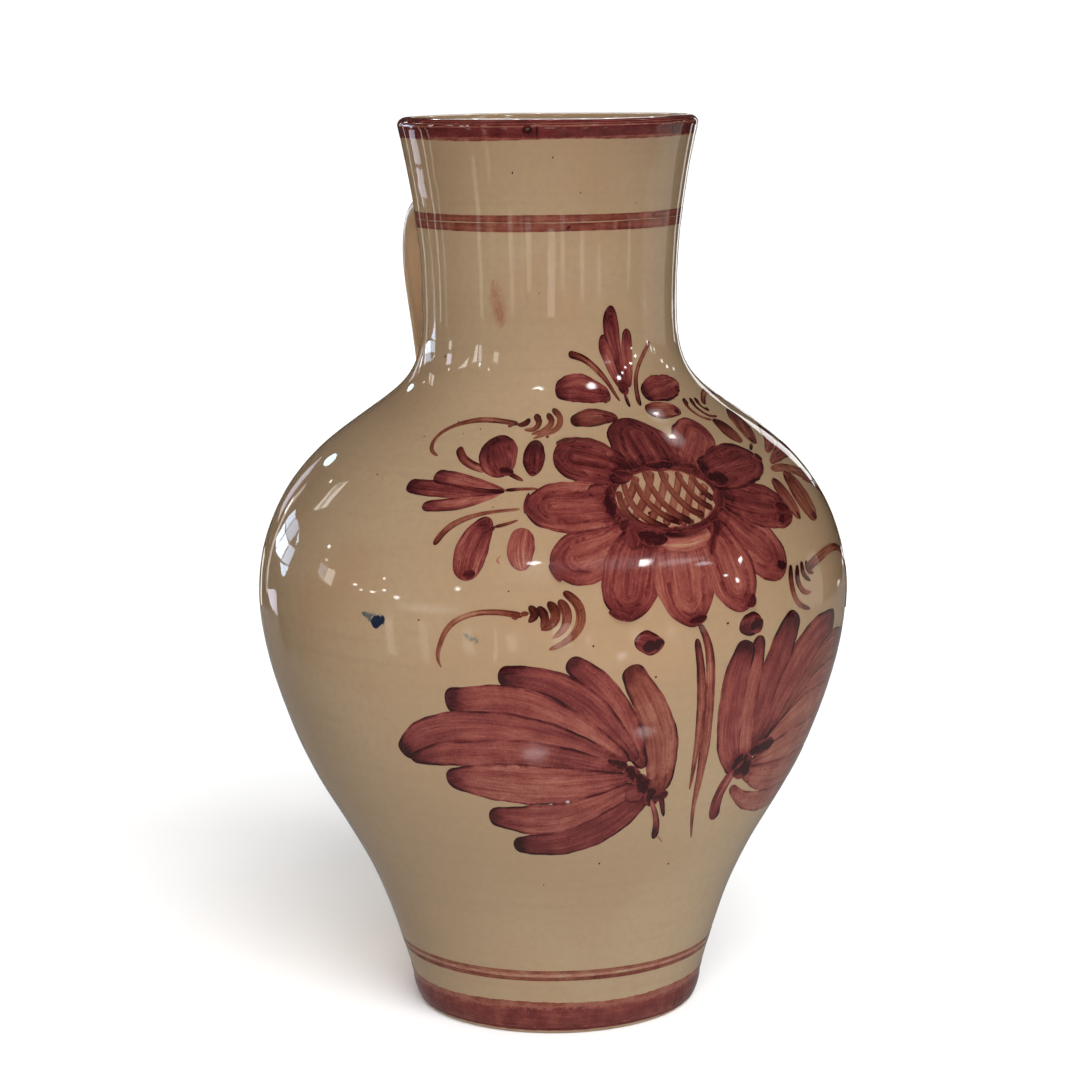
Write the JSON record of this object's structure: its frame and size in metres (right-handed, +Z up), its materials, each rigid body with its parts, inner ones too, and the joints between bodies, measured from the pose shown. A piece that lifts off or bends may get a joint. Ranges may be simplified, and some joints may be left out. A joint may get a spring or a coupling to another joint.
{
  "type": "one-handled ceramic vase",
  "caption": "Glazed earthenware jug vase with a flared neck, wide belly, small foot, strap handle and hand-painted flower front.",
  "frame": {"origin": "centre of the foot on the surface it stands on, on the axis of the turned body", "axes": "+Z up along the axis, -Y towards the painted front, +Y towards the handle"},
  "size_m": [0.1974, 0.1974, 0.3],
  "materials": {
    "fired_clay": "unglazed",
    "cream_glaze": "gloss",
    "strap_clay": "unglazed",
    "strap_glaze": "gloss",
    "slip_clay": "unglazed"
  },
  "bodies": {
    "root": {"clay_body": "fired_clay", "body_glaze": "cream_glaze", "handle": "strap_clay", "handle_glaze": "strap_glaze", "upper_join": "slip_clay", "lower_join": "slip_clay"}
  },
  "joints": []
}
